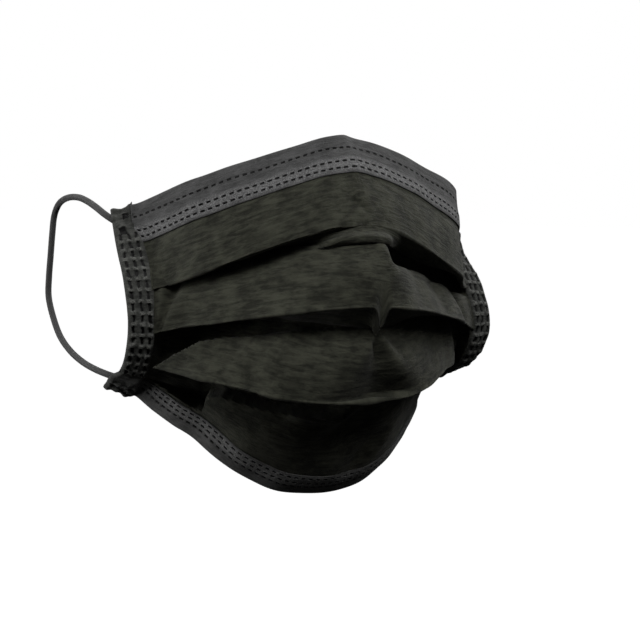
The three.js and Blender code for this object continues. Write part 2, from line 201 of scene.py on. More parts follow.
# Side band welds
SIDE_DASH = (2.6, 1.15)
SIDE_DASH_PITCH = 3.7
SIDE_DASH_START = 13  # how far down the band the first row of dashes is
SIDE_DASH_COUNT = 15
SIDE_DASH_COLUMNS = (2.0, 4.9, 7.6)  # distances of the columns of dashes from the outer edge
SIDE_DASH_DEPTH = 0.6
SIDE_DASH_RAMP = 0.22  # width of the sloping walls of its dashes and spots
SIDE_DASH_DRIFT = 0.14  # how far the walls of the dashes stray from straight
SIDE_DASH_PAD = (*SIDE_DASH, 0.2)
SPOT = 2.8  # side of the square weld spots that hold an ear loop
SPOTS = [(4.6, 5.7), (10.6, 3.6), (80.5, 3.2), (84.5, 5.6), (80, 7.4)]  # down, inset
SPOT_DEPTH = 0.75  # in the front of a band
BACK_SPOT_DEPTH = 0.4  # and in its back
SPOT_PAD = (SPOT, SPOT, 0.25)
SMALLEST_PAD = (0.88, 0.82, 0.8)  # shares of its size that the smallest pad of melted film has
LARGEST_PAD = (1.06, 1.08, 1.1)  # and the largest

# Side band relief
SIDE_HALF_WALL = 1.15
SIDE_CELL = (0.45, 0.5)  # widest cell of its mesh, down and across the band
SIDE_END_ROWS = (0, 0.3, 0.8, SIDE_LENGTH - 0.8, SIDE_LENGTH - 0.3, SIDE_LENGTH)  # rows that round its ends
SIDE_EDGE_COLUMNS = (0, 0.15, 0.4, 0.8, 8.6, 8.85, PLAIN_WIDTH)  # and columns that round its edges
TOP_CUT = [(0, 1.0), (4.5, 1.6), (6.3, 1.2), (9, -0.4)]  # inset, down: course of the cut at the top end
CUT_FADE = 8  # how far down the rows still follow the cut
FLAP = 68  # from here down the band is crumpled into a flap
FLAP_FLARE = 1.8  # and flares outwards by this much
FLAP_FADE = 6  # over what distance the flap begins
EDGE_ROUNDING = (0.85, 12)  # share of its thickness that the band loses at its edges, and how late
END_ROUNDING = (0.5, 60)  # and at its ends
# The cloth swells to cushions between the dashes of a column, from `start` down the band to the flap.
CUSHION = dict(height=0.4, half=0.75, ramp=0.35, start=11, fade=2)
# Puckers run down the flap. They sway from side to side, and rise over `edge` from its outer edge.
PUCKER = dict(height=0.3, pitch=2.9, sway=0.8, turns=0.9, start=4, edge=1.5)
# Crumpling: that of the top end, and that of the whole band, which is higher on the flap and squeezed across.
TOP_CRUMPLE = dict(height=0.45, end=9, fade=4)
CRUMPLE = dict(height=0.14, on_flap=0.12, squeeze=1.5)
# A groove runs slantwise across the front, above the flap, and a slit down the inner edge of the top end.
GROOVE = dict(depth=0.8, above=1.5, slant=0.12, width=0.7)
# the slit is a real groove, and it is also painted dark along its length as shade
SLIT = dict(inset=8.2, width=0.45, depth=0.7, end=10, fade=3)
BACK_LIFT = 0.6  # share of the crumpling that the back follows
LEAST_WALL = 0.35  # thickness that is left in the slit

# Ear loops: the points that the left cord follows, from behind the top corner of its band to the bottom one.
# The right cord is its mirror, moved sideways by the two shifts: below 0 is towards the middle.
CORD_DIAMETER = 2.4
CORD_SIDES = 20
CORD_STEP = 0.8  # distance between its rings of points
CORD_SPAN_STEPS = 24  # steps of the fine curve between two of the points
WELDED_END = 6  # length over which an end thins towards its weld
THINNING = 0.06  # share of its thickness that it loses there
RIGHT_LOOP_TOP_SHIFT = -3.2
RIGHT_LOOP_BOTTOM_SHIFT = -2
LOOP_ROUTE = [
    (65.5, 35.7, -30.2), (68.3, 36.5, -28.9), (71.0, 38.0, -27.3), (72.6, 42.0, -25.5), (73.2, 48.5, -23.5),
    (73.2, 58.0, -21.6), (73.0, 68.5, -20.5), (73.0, 80.0, -20.9), (73.0, 89.5, -23.2), (73.0, 95.0, -27.8),
    (73.0, 96.8, -34.5), (73.0, 98.0, -43.0), (73.0, 99.2, -51.5), (73.0, 98.8, -59.0), (72.5, 94.0, -66.5),
    (72.0, 86.5, -73.0), (71.0, 77.0, -77.6), (70.0, 66.0, -80.4), (69.0, 56.0, -81.8), (67.6, 49.5, -82.6),
    (65.7, 46.4, -83.3), (62.9, 45.4, -84.2), (60.1, 44.6, -85.1),
]


# ---- scene and camera ----

def add_object(name, data):
    """A new object in the scene."""
    added = bpy.data.objects.new(name, data)
    bpy.context.scene.collection.objects.link(added)
    return added


def direction(azimuth, elevation):
    """The direction from the middle of the mask, in degrees. Azimuth 0 is in front and 90 at the right."""
    a, e = math.radians(azimuth), math.radians(elevation)
    return Vector((math.sin(a) * math.cos(e), -math.cos(a) * math.cos(e), math.sin(e)))


def add_camera():
    """The camera, level with the nose and well to the left of straight on."""
    back = direction(-27.07, 2.9)
    roll = math.radians(2.25)
    target, distance = Vector((0, 0.0215, -0.045)), 0.6008
    camera = add_object("camera", bpy.data.cameras.new("camera"))
    camera.rotation_mode = "QUATERNION"
    turn = (-back).to_track_quat("-Z", "Y").to_matrix() @ Matrix.Rotation(roll, 3, "Z")
    camera.location = target + back * distance
    camera.rotation_quaternion = turn.to_quaternion()
    camera.data.sensor_width = 36
    camera.data.lens = 94.15
    camera.data.shift_x = 0.011
    camera.data.shift_y = -0.070
    camera.data.clip_start = 0.01
    camera.data.clip_end = 50
    bpy.context.scene.camera = camera


# ---- the course of the cloth ----

def unit(vectors):
    """The vectors at length 1."""
    return vectors / np.linalg.norm(vectors, axis=-1, keepdims=True)


def lerp(a, b, share):
    """The value a share of the way from a to b."""
    return a + (b - a) * share


def hermite(p, q, m, n, s):
    """Smooth curve from p to q that leaves p with slope m and reaches q with slope n."""
    s = np.asarray(s, float)[..., None]
    return ((2 * s**3 - 3 * s**2 + 1) * p + (s**3 - 2 * s**2 + s) * m
            + (3 * s**2 - 2 * s**3) * q + (s**3 - s**2) * n)


def run_past(points):
    """The points, with one more in line with the last two at each end."""
    return np.vstack([2 * points[0] - points[1], points, 2 * points[-1] - points[-2]])


def between_two(before, p, q, after, s):
    """Smooth curve from p to q that comes from the point before them and goes on to the point after."""
    return hermite(p, q, (q - before) / 2, (after - p) / 2, s)


def distances(points):
    """Distance along a line of points to each of them."""
    return np.concatenate([[0], np.cumsum(np.linalg.norm(np.diff(points, axis=0), axis=1))])


def side_edge(side, down):
    """Points of a side band's outer edge, `down` below its top corner. side: -1 left, 1 right."""
    rows = np.array([(side * (left if side < 0 else right), y, z) for _, left, right, y, z in SIDE_EDGE])
    place = np.asarray(down, float) * (len(SIDE_EDGE) - 1) / SIDE_LENGTH
    cell = np.clip(np.floor(place), 0, len(SIDE_EDGE) - 2).astype(int)
    return between_two(*(run_past(rows)[cell + k] for k in range(4)), place - cell)


def inwards(side, down):
    """Direction in which the cloth runs from a side edge towards the middle of the mask."""
    plan = math.radians(BAND_PLAN_ANGLE)
    rise = np.radians(lerp(BAND_RISE_TOP, BAND_RISE_BOTTOM, np.asarray(down, float) / SIDE_LENGTH))
    return np.stack([-side * np.cos(rise) * math.cos(plan), -np.cos(rise) * math.sin(plan), np.sin(rise)], -1)


def faceward(side, down):
    """Direction square to a side band, towards the face."""
    down = np.asarray(down, float)
    return unit(side * np.cross(side_edge(side, down + 1) - side_edge(side, down - 1), inwards(side, down)))


def band_width(down):
    """Width of a side band, `down` below its top corner."""
    places, widths = zip(*SIDE_BAND_WIDTHS)
    return np.interp(down, places, widths)


def down_at(line, side):
    """Where a line meets a side edge."""
    return line["down"][0 if side < 0 else 1]


def beside_band(side, down, layer):
    """Where a closed layer ends in a side band. The layers step back steadily down the band."""
    down = np.asarray(down, float)
    stepped = LAST_LAYER * np.clip((down - SHINGLE_START) / (SHINGLE_END - SHINGLE_START), 0, 1)
    depth = LAYER_PITCH * (layer - stepped)
    tucked = band_width(down) - TUCK
    return (side_edge(side, down) + faceward(side, down) * depth[..., None]
            + inwards(side, down) * tucked[..., None])


def band_bow(k, share, side):
    """How far strip k must leave its straight course to follow the bow of a side band."""
    share = np.asarray(share, float)
    top, bottom = down_at(LINES[k], side), down_at(LINES[k + 1], side)
    straight = lerp(beside_band(side, top, k), beside_band(side, bottom, k), share[..., None])
    return beside_band(side, lerp(top, bottom, share), k) - straight


def line_points(line, side, share):
    """Points of a line across the mask, at shares of the way from its middle to a side band."""
    share = np.asarray(share, float)
    middle = np.array((0, *line["mid"]), float)
    cheek = np.array(line["left" if side < 0 else "right"], float)
    down = down_at(line, side)
    end = beside_band(side, down, line["layer"])
    inner, outer = np.linalg.norm(cheek - middle), np.linalg.norm(end - cheek)
    turn = CHEEK_ROUND * unit(unit(cheek - middle) * outer + unit(end - cheek) * inner)
    start = np.array((side * line["round"] * inner, 0, 0))
    to_cheek = hermite(middle, cheek, start, turn * inner, share / CHEEK)
    square = faceward(side, down)
    finish = BAND_ROUND * outer * unit(end - cheek - square * ((end - cheek) @ square))
    to_band = hermite(cheek, end, turn * outer, finish, (share - CHEEK) / (1 - CHEEK))
    points = np.where((share <= CHEEK)[:, None], to_cheek, to_band)
    width, bluntness = LIP_SHAPE[0 if side < 0 else 1]
    points[:, 1] -= line["lip"] * np.exp(-(share / width) ** bluntness)
    return points


def pleat_edge(before, point, after, run, radius):
    """The places round a pleat edge, from the layer before it to the layer after it."""
    back, on = unit(before - point), unit(after - point)
    tip = -unit(back + on)
    radius = radius * np.clip(np.linalg.norm(back + on, axis=-1, keepdims=True), LEAST_RADIUS, 1)
    apart = unit(np.cross(run, tip))
    apart *= np.sign(np.sum(apart * (back - on), -1))[:, None]
    return np.stack([point + radius * (apart * np.cos(a) + tip * np.sin(a)) for a in FOLD_ANGLES], 1)


def half_sections(side, share):
    """Vertical sections of the cloth's centre line, as (sections, rows, 3)."""
    points = [line_points(line, side, share) for line in LINES]
    nearer = [line_points(line, side, share - NUDGE) for line in LINES]
    bowed = (share**BOW_FADE)[:, None]
    free = ((1 - share**2) ** SWELL_FADE)[:, None]
    radius = lerp(OPEN_RADIUS, CLOSED_RADIUS, bowed)

    def strip(k, along):
        return lerp(points[k], points[k + 1], along[:, None]) + band_bow(k, along, side) * bowed

    edges = [points[0][:, None]]
    for k in range(1, len(LINES) - 1):
        before = strip(k - 1, 1 - PLEAT_REACH / np.linalg.norm(points[k] - points[k - 1], axis=1))
        after = strip(k, PLEAT_REACH / np.linalg.norm(points[k + 1] - points[k], axis=1))
        edges.append(pleat_edge(before, points[k], after, nearer[k] - points[k], radius))
    edges.append(points[-1][:, None])
    rows = [edges[0]]
    for k, count in enumerate(STRIP_ROWS):
        start, end = edges[k][:, -1], edges[k + 1][:, 0]
        out = side * unit(np.cross(nearer[k] - points[k], end - start))
        for along in np.linspace(0, 1, count + 2)[1:-1]:
            swell = out * free * (SWELLS[k] * math.sin(math.pi * along))
            rows.append((lerp(start, end, along) + swell + band_bow(k, along, side) * bowed)[:, None])
        rows.append(edges[k + 1])
    return np.concatenate(rows, 1)


def surface_normals(grid):
    """Unit normals of a grid of points (columns to the right, rows downwards), out of the front."""
    sideways, downwards = np.gradient(grid, axis=0), np.gradient(grid, axis=1)
    return unit(np.cross(downwards, sideways))


def relief(u, v, seed, count, shortest, longest):
    """A soft random relief about 1 high, made of plane waves of the given lengths."""
    chance = np.random.default_rng(seed)
    height = np.zeros(np.broadcast(u, v).shape)
    for _ in range(count):
        turn, start = chance.uniform(0, 2 * math.pi, 2)
        length = chance.uniform(shortest, longest)
        height += np.sin((u * math.cos(turn) + v * math.sin(turn)) * 2 * math.pi / length + start)
    return height / math.sqrt(count)


def smooth_step(value):
    """Goes softly from 0 to 1 as the value does, and stays there outside."""
    value = np.clip(value, 0, 1)
    return value * value * (3 - 2 * value)


def cloth_rows():
    """For each row of the cloth: its distance from the top edge over the flat cloth, its place counted in
    strips, and the share of each strip in it."""
    mine = np.eye(len(STRIP_ROWS))
    rows = [(0.0, 0.0, mine[0])]
    for k, count in enumerate(STRIP_ROWS):
        start = rows[-1][0]
        width = abs(LINES[k + 1]["down"][0] - LINES[k]["down"][0])
        rows.extend((start + width * along, k + along, mine[k])
                    for along in np.linspace(0, 1, count + 2)[1:-1])
        if k + 1 < len(STRIP_ROWS):
            rows.extend((start + width, k + 1, lerp(mine[k], mine[k + 1], turn))
                        for turn in np.linspace(0, 1, len(FOLD_ANGLES)))
        else:
            rows.append((start + width, k + 1, mine[k]))
    return (np.array(values) for values in zip(*rows))


def straight_run(u0, d0, u1, d1):
    """Length and direction of the straight way over the cloth from one place to another."""
    length = math.hypot(u1 - u0, d1 - d0)
    return length, (u1 - u0) / length, (d1 - d0) / length


def fold_height(fold, u, down):
    """Height of a small fold at places on the cloth."""
    u0, d0 = fold["start"]
    length, run_u, run_d = straight_run(u0, d0, *fold["end"])
    along = (u - u0) * run_u + (down - d0) * run_d
    aside = (u - u0) * run_d - (down - d0) * run_u
    share = np.clip(along / length, 0, 1)
    ends = smooth_step(1 + along / fold["fade"]) * smooth_step(1 + (length - along) / fold["fade"])
    if "step" in fold:
        soft, reach = fold["step"]
        shape = smooth_step(aside / soft + 0.5) * smooth_step(1 + (reach - aside) / STEP_FADE)
    else:
        shape = np.exp(-((aside / lerp(*fold["width"], share)) ** 2))
    return lerp(*fold["height"], share) * shape * ends


def beside_course(course, u, down):
    """Distance of places from a course, positive on its upper or left side, and the depth given there."""
    nearest, aside, depth = (np.full(np.broadcast(u, down).shape, start) for start in (np.inf, 0.0, 0.0))
    for (u0, d0, h0), (u1, d1, h1) in zip(course, course[1:]):
        length, run_u, run_d = straight_run(u0, d0, u1, d1)
        share = np.clip(((u - u0) * run_u + (down - d0) * run_d) / length, 0, 1)
        off_u, off_d = u - lerp(u0, u1, share), down - lerp(d0, d1, share)
        distance = np.hypot(off_u, off_d)
        closer = distance < nearest
        nearest = np.where(closer, distance, nearest)
        aside = np.where(closer, np.sign(off_u * run_d - off_d * run_u) * distance, aside)
        depth = np.where(closer, lerp(h0, h1, share), depth)
    return aside, depth


def make_cloth():
    """The centre surface of the whole cloth, with its places over the flat cloth."""
    even = np.linspace(-1, 1, PANEL_COLUMNS + 1)
    across = even * (1 + COLUMN_CROWDING - COLUMN_CROWDING * even**2)
    centre = np.concatenate([half_sections(-1, -across[across < 0]), half_sections(1, across[across >= 0])])
    flat_down, place, shares = cloth_rows()
    u = across[:, None] * HALF_WIDTH
    meets = [np.interp(place, range(len(LINES)), [line["down"][k] for line in LINES]) for k in (0, 1)]
    down = lerp(meets[0][None, :], meets[1][None, :], (1 + across[:, None]) / 2)
    normal = surface_normals(centre)
    held = smooth_step((1 - np.abs(across)) / HELD)[:, None]
    height = held * WRINKLE * relief(u, flat_down[None, :], seed=7, count=14, shortest=14, longest=45)
    for fold in FOLDS:
        bent = shares[:, list(fold["strips"])]
        # Halfway round a turn each of its two strips has half a share, and the product is a quarter.
        bent = 4 * bent.prod(1) if fold.get("edge") else bent.sum(1)
        part = held * fold_height(fold, u, down) * bent[None, :]
        if fold.get("straight"):
            centre = centre - np.array((0, 1, 0)) * part[..., None]
        else:
            height = height + part
    centre = centre + normal * height[..., None]
    for tuck in TUCKS:
        aside, depth = beside_course(tuck["course"], u, down)
        reach, back = tuck["reach"]
        part = smooth_step(aside / TUCK_CREASE + 0.5) * smooth_step(1 + (reach - aside) / back)
        part = part * depth * held * shares[:, list(tuck["strips"])].sum(1)[None, :]
        if tuck.get("late"):
            part = part * np.clip(place - tuck["strips"][0], 0, 1)[None, :]
        if "rise" in tuck:
            start, end = tuck["rise"]
            part = part * np.clip((u - start) / (end - start), 0, 1)
        centre = centre + np.array(tuck["way"]) * part[..., None]
    away = u - TONGUE["u"]
    narrow = np.exp(-((away / np.where(away < 0, TONGUE["left"], TONGUE["right"])) ** 2))
    (top, top_fade), (foot, foot_fade) = TONGUE["top"], TONGUE["foot"]
    hanging = smooth_step((place - top) / top_fade) * smooth_step((foot - place) / foot_fade)
    centre = centre + np.array(TONGUE["drop"]) * (narrow * hanging[None, :])[..., None]
    return dict(across=across, down=flat_down, centre=centre, normal=surface_normals(centre))


def on_cloth(cloth, across, down, height=0.0):
    """Points at a height over the cloth's centre surface, and the normals there."""
    across, down, height = np.broadcast_arrays(across, down, height)

    def cell_and_share(value, places):
        place = np.interp(value, places, np.arange(len(places)))
        cell = np.clip(np.floor(place), 0, len(places) - 2).astype(int)
        return cell, (place - cell)[..., None]

    i, s = cell_and_share(across, cloth["across"])
    j, t = cell_and_share(down, cloth["down"])

    def between(grid):
        return lerp(lerp(grid[i, j], grid[i + 1, j], s), lerp(grid[i, j + 1], grid[i + 1, j + 1], s), t)

    normal = unit(between(cloth["normal"]))
    return between(cloth["centre"]) + normal * height[..., None], normal


# ---- meshes ----

CREASE_ANGLE = 50  # degrees between two faces above which their edge stays sharp


def grid_quads(columns, rows, first, turned):
    """Faces of a grid of points numbered down each column, from `first` on."""
    corner = first + np.arange(columns * rows).reshape(columns, rows)
    a, b, c, d = corner[:-1, :-1], corner[:-1, 1:], corner[1:, 1:], corner[1:, :-1]
    return np.stack([a, d, c, b] if turned else [a, b, c, d], -1).reshape(-1, 4)


def rim_quads(columns, rows):
    """Faces that join the edges of two grids of the same size."""
    corner = np.arange(2 * columns * rows).reshape(2, columns, rows)
    front, back = np.concatenate([corner[:, :, 0], corner[:, -1, 1:], corner[:, -2::-1, -1],
                                  corner[:, 0, -2::-1]], 1)
    return np.stack([front[:-1], front[1:], back[1:], back[:-1]], -1)


def set_marks(mesh, marks):
    """Gives a mesh its named values, one number or one vector for each point."""
    for mark, values in marks.items():
        kind, field = ("FLOAT_VECTOR", "vector") if values.ndim > 1 else ("FLOAT", "value")
        attribute = mesh.attributes.new(mark, kind, "POINT")
        attribute.data.foreach_set(field, values.astype(np.float32).ravel())


def new_mesh(name, points, faces, marks, material):
    """A smooth-shaded object from points in millimetres, with sharp creases kept."""
    mesh = bpy.data.meshes.new(name)
    mesh.from_pydata((points * MM).tolist(), [], faces.tolist())
    set_marks(mesh, marks)
    mesh.polygons.foreach_set("use_smooth", [True] * len(mesh.polygons))
    mesh.set_sharp_from_angle(angle=math.radians(CREASE_ANGLE))
    mesh.materials.append(material)
    mesh.validate()
    return add_object(name, mesh)


def closed_sheet(name, front, back, marks, material):
    """A closed body between two grids of points. marks hold one value for each place of the grid."""
    columns, rows = front.shape[:2]
    size = columns * rows
    points = np.concatenate([front.reshape(-1, 3), back.reshape(-1, 3)])
    faces = np.concatenate([grid_quads(columns, rows, 0, False), grid_quads(columns, rows, size, True),
                            rim_quads(columns, rows)])
    both = {}
    for mark, values in marks.items():
        flat = values.reshape(size, -1) if values.ndim == 3 else values.ravel()
        both[mark] = np.concatenate([flat, flat])
    return new_mesh(name, points, faces, both, material)


def flat_places(u, v):
    """Places over the flat cloth, as one vector for each point."""
    u, v = np.broadcast_arrays(u, v)
    return np.stack([u, v, np.zeros(u.shape)], -1).astype(float)


def dent_halves(dash, ramp):
    """Half the length and half the width of the flat floor of a dash."""
    return dash[0] / 2 - ramp, dash[1] / 2 - ramp


def near(place, centres, half, ramp):
    """1 within `half` of any of the centres, falling to 0 over the next `ramp`."""
    return np.max([np.clip((half + ramp - np.abs(place - centre)) / ramp, 0, 1) for centre in centres], 0)


def dash_places(length, pitch):
    """Centres of the dashes of a row, with half a pitch left at each end."""
    count = int(length // pitch)
    return (np.arange(count) + 0.5) * pitch + (length - count * pitch) / 2


def dent_walls(centres, half, ramp):
    """Places where the sloping walls of dents start and end, on both sides of each centre."""
    return [centre + offset for centre in centres for offset in (-half - ramp, -half, half, half + ramp)]


def rows_between(edges, step):
    """Sorted places that include the given edges and leave no gap over about `step`."""
    edges = sorted(set(np.round(edges, 4)))
    places = [edges[0]]
    for a, b in zip(edges[:-1], edges[1:]):
        places.extend(np.linspace(a, b, max(1, math.ceil((b - a) / step)) + 1)[1:])
    return np.array(places)


# ---- cloth pieces ----

def pleated_panel(cloth, material):
    """The cloth itself, which thins towards the side bands."""
    across = cloth["across"][:, None, None]
    wall = CLOTH * lerp(1, PRESSED_CLOTH, np.abs(across) ** BOW_FADE)
    front = cloth["centre"] + cloth["normal"] * wall / 2
    back = cloth["centre"] - cloth["normal"] * wall / 2
    places = flat_places(cloth["across"][:, None] * HALF_WIDTH, cloth["down"][None, :])
    return closed_sheet("pleated_cloth", front, back, {"cloth": places}, material)


def binding(name, cloth, edge, band, material):
    """A strip folded over the edge of the cloth at row `edge`, welded in rows of dashes. Returns it and its
    welds."""
    leg, dash_rows = band["height"], band["dash_rows"]
    inward = 1 if edge == 0 else -1
    course = distances(on_cloth(cloth, cloth["across"], edge + inward * leg / 2)[0])
    dashes = dash_places(course[-1], DASH_PITCH)
    half_long, half_wide = dent_halves(DASH, DASH_RAMP)
    along = rows_between([0, course[-1], *dent_walls(dashes, half_long, DASH_RAMP)], STRIP_CELL[0])
    across = np.interp(along, course, cloth["across"])
    away = rows_between([0, leg, *dash_rows, *dent_walls(dash_rows, half_wide, DASH_RAMP)], STRIP_CELL[1])
    pressed_and_painted_shade = (near(along, dashes, half_long, DASH_RAMP)[:, None]
               * near(away, dash_rows, half_wide, DASH_RAMP)[None, :])
    puffed = (np.clip((away - dash_rows[1] + PUFF_START) / PUFF_FADE, 0, 1)
              * np.clip((leg - PUFF_END - away) / PUFF_FADE, 0, 1))
    puff = PUFF * puffed[None, :] * (1 - pressed_and_painted_shade)
    inner = CLOTH / 2 + STRIP_AIR
    outer = inner + STRIP_WALL
    edge_points, edge_normals = on_cloth(cloth, across, edge)
    beyond = unit(edge_points - on_cloth(cloth, across, edge + inward)[0])

    def down_from_edge(distance, place):
        return edge + inward * distance * np.interp(place, *zip(*band["spread"]))

    def folded(front, turn, back):
        """The grid of the whole strip: up its front, round the edge and down its back, or the other way."""
        grid = np.concatenate([front[:, ::-1], turn, back], 1)
        return grid[:, ::-1] if inward > 0 else grid

    def wrap(height):
        down = down_from_edge(away[None, :], across[:, None])
        front = on_cloth(cloth, across[:, None], down, height)[0]
        back = on_cloth(cloth, across[:, None], down, -height)[0]
        round_it = height[:, :1]
        turn = np.stack([edge_points + beyond * round_it * math.cos(a) + edge_normals * round_it * math.sin(a)
                         for a in STRIP_TURN], 1)
        return folded(front, turn, back)

    def around(values):
        return folded(values, np.repeat(values[:, :1], len(STRIP_TURN), 1), values)

    front = wrap(outer + puff - DASH_DEPTH * pressed_and_painted_shade)
    back = wrap(inner - INNER_DASH_DEPTH * pressed_and_painted_shade)
    rows = np.concatenate([-away[::-1], np.zeros(len(STRIP_TURN)), away])
    places = flat_places(along[:, None], (rows[::-1] if inward > 0 else rows)[None, :])
    marks = {"cloth": places, "pressed_and_painted_shade": around(pressed_and_painted_shade), "puffed": around(puff / PUFF)}
    piece = closed_sheet(name, front, back, marks, material)
    welds = []
    dash_across = np.interp(dashes, course, cloth["across"])
    for row in dash_rows:
        dash_down = down_from_edge(row, dash_across)
        ahead = on_cloth(cloth, dash_across + NUDGE / 2, dash_down)[0]
        behind = on_cloth(cloth, dash_across - NUDGE / 2, dash_down)[0]
        for face in (1, -1):
            place, normal = on_cloth(cloth, dash_across, dash_down, face * (outer - DASH_DEPTH))
            welds.append((place, unit(ahead - behind), face * normal))
    return piece, tuple(np.concatenate(values) for values in zip(*welds))


def on_band(side, down, inset, height):
    """Points over the middle surface of a side band, height towards the front."""
    return (side_edge(side, down) - faceward(side, down) * np.asarray(height)[..., None]
            + inwards(side, down) * np.asarray(inset)[..., None])


def band_place(base, down):
    """Distance from the outer edge line and place down the band, for a place on a band of plain width."""
    width = band_width(down)
    margin = np.maximum(width - PLAIN_WIDTH, 0) * smooth_step((base - (PLAIN_WIDTH - MARGIN)) / MARGIN)
    flare = FLAP_FLARE * smooth_step((down - FLAP) / FLAP_FADE) * (1 - base / PLAIN_WIDTH)
    cut = np.interp(base, *zip(*TOP_CUT)) * (1 - smooth_step(down / CUT_FADE))
    return base * np.minimum(width, PLAIN_WIDTH) / PLAIN_WIDTH + margin - flare, down + cut


def rounded(place, length, loss, lateness):
    """Share of its thickness that a wall keeps as it rounds off towards both ends of a length."""
    return 1 - loss * np.abs((place - length / 2) / (length / 2)) ** lateness


def side_relief(side, along, base, dashes):
    """Heights of a side band's front and back over its middle surface, and how pressed and puffed it is. The
    pressed mark also carries painted shade down the slit.
    """
    half_long, half_wide = dent_halves(SIDE_DASH, SIDE_DASH_RAMP)
    half_spot = SPOT / 2 - SIDE_DASH_RAMP
    drift = SIDE_DASH_DRIFT * relief(along, base, seed=31 + side, count=12, shortest=2, longest=5)
    rows = near(along + drift, dashes, half_long, SIDE_DASH_RAMP)
    pressed_and_painted_shade = rows * near(base + drift, SIDE_DASH_COLUMNS, half_wide, SIDE_DASH_RAMP)
    spots = np.max([near(along, [down], half_spot, SIDE_DASH_RAMP)
                    * near(base, [inset], half_spot, SIDE_DASH_RAMP) for down, inset in SPOTS], 0)
    # the slit is sunk, and through the pressed mark it is also painted dark as shade
    slit = (np.exp(-(((base - SLIT["inset"]) / SLIT["width"]) ** 2))
            * smooth_step((SLIT["end"] - along) / SLIT["fade"]))

    welded = (smooth_step((along - CUSHION["start"]) / CUSHION["fade"])
              * smooth_step((FLAP - along) / CUSHION["fade"]))
    columns = near(base, SIDE_DASH_COLUMNS, CUSHION["half"], CUSHION["ramp"])
    cushions = CUSHION["height"] * welded * columns * (1 - rows)

    flap = smooth_step((along - FLAP - PUCKER["start"]) / FLAP_FADE)
    sway = PUCKER["sway"] * np.sin(along * PUCKER["turns"])
    puckers = flap * PUCKER["height"] * np.sin(base * 2 * math.pi / PUCKER["pitch"] + sway)
    top = 1 - smooth_step((along - TOP_CRUMPLE["end"]) / TOP_CRUMPLE["fade"])
    top_crumple = relief(along, base, seed=23 + side, count=8, shortest=3, longest=7)
    crumple = relief(along, base * CRUMPLE["squeeze"], seed=11 + side, count=12, shortest=3, longest=9)
    crumple_height = CRUMPLE["height"] + CRUMPLE["on_flap"] * flap
    lift = (puckers * smooth_step(base / PUCKER["edge"]) + top * TOP_CRUMPLE["height"] * top_crumple
            + crumple_height * crumple * (1 - pressed_and_painted_shade))
    over_flap = along - FLAP + GROOVE["above"] - GROOVE["slant"] * base
    groove = GROOVE["depth"] * np.exp(-((over_flap / GROOVE["width"]) ** 2))

    wall = (SIDE_HALF_WALL * rounded(base, PLAIN_WIDTH, *EDGE_ROUNDING)
            * rounded(along, SIDE_LENGTH, *END_ROUNDING))
    front = wall + cushions - SIDE_DASH_DEPTH * pressed_and_painted_shade - SPOT_DEPTH * spots + lift - groove
    back = -wall - cushions + SIDE_DASH_DEPTH * pressed_and_painted_shade + BACK_SPOT_DEPTH * spots + lift * BACK_LIFT
    front = np.maximum(front - SLIT["depth"] * slit, back + LEAST_WALL)
    return front, back, np.max([pressed_and_painted_shade, spots, slit], 0), cushions / CUSHION["height"]


def side_band(name, side, material):
    """The welded edge: a strip folded round the closed pleats and pressed in columns of dashes. Returns it,
    its dash welds and its spot welds."""
    dashes = SIDE_DASH_START + SIDE_DASH_PITCH * np.arange(SIDE_DASH_COUNT)
    half_long, half_wide = dent_halves(SIDE_DASH, SIDE_DASH_RAMP)
    spot_walls = dent_walls([down for down, _ in SPOTS], SPOT / 2 - SIDE_DASH_RAMP, SIDE_DASH_RAMP)
    dash_walls = dent_walls(dashes, half_long, SIDE_DASH_RAMP)
    column_walls = dent_walls(SIDE_DASH_COLUMNS, half_wide, SIDE_DASH_RAMP)
    along = rows_between([*SIDE_END_ROWS, *dash_walls, *spot_walls], SIDE_CELL[0])[:, None]
    base = rows_between([*SIDE_EDGE_COLUMNS, *SIDE_DASH_COLUMNS, *column_walls], SIDE_CELL[1])[None, :]
    front_height, back_height, pressed_and_painted_shade, puffed = side_relief(side, along, base, dashes)
    inset, down = band_place(base, along)
    front = on_band(side, down, inset, front_height)
    back = on_band(side, down, inset, back_height)
    places = flat_places(base + 0 * along, along + 0 * base)
    front, back, places, pressed_and_painted_shade, puffed = (
        np.swapaxes(grid[:, ::-1] if side > 0 else grid, 0, 1)
        for grid in (front, back, places, pressed_and_painted_shade, puffed + 0 * base))
    # the pressed mark darkens the weld dents, and down the slit it is painted shade
    marks = {"cloth": places, "pressed_and_painted_shade": pressed_and_painted_shade, "puffed": puffed}
    piece = closed_sheet(name, front, back, marks, material)
    dash_welds = [(place, column, SIDE_HALF_WALL - SIDE_DASH_DEPTH) for column in SIDE_DASH_COLUMNS
                  for place in dashes]
    spot_welds = [(place, column, SIDE_HALF_WALL - SPOT_DEPTH) for place, column in SPOTS]
    return piece, band_welds(side, dash_welds), band_welds(side, spot_welds)


def band_welds(side, places):
    """Points, runs and outward directions of welds on both faces of a side band."""
    down, base, height = (np.array(values, float) for values in zip(*places))
    inset, down = band_place(base, down)
    run = unit(side_edge(side, down + 0.5) - side_edge(side, down - 0.5))
    out = faceward(side, down)
    points = [on_band(side, down, inset, face * height) for face in (1, -1)]
    return np.concatenate(points), np.concatenate([run, run]), np.concatenate([-out, out])


# ---- nodes, and the welds that Geometry Nodes make ----

def connect(tree, node, inputs):
    """Links or sets a node's inputs, by name or number."""
    for socket, source in inputs.items():
        if isinstance(source, bpy.types.NodeSocket):
            tree.links.new(source, node.inputs[socket])
        else:
            node.inputs[socket].default_value = source


def add_node(tree, kind, inputs=None, **settings):
    """Adds a node with its settings, and links or sets its inputs."""
    node = tree.nodes.new(kind)
    for key, value in settings.items():
        setattr(node, key, value)
    connect(tree, node, inputs or {})
    return node


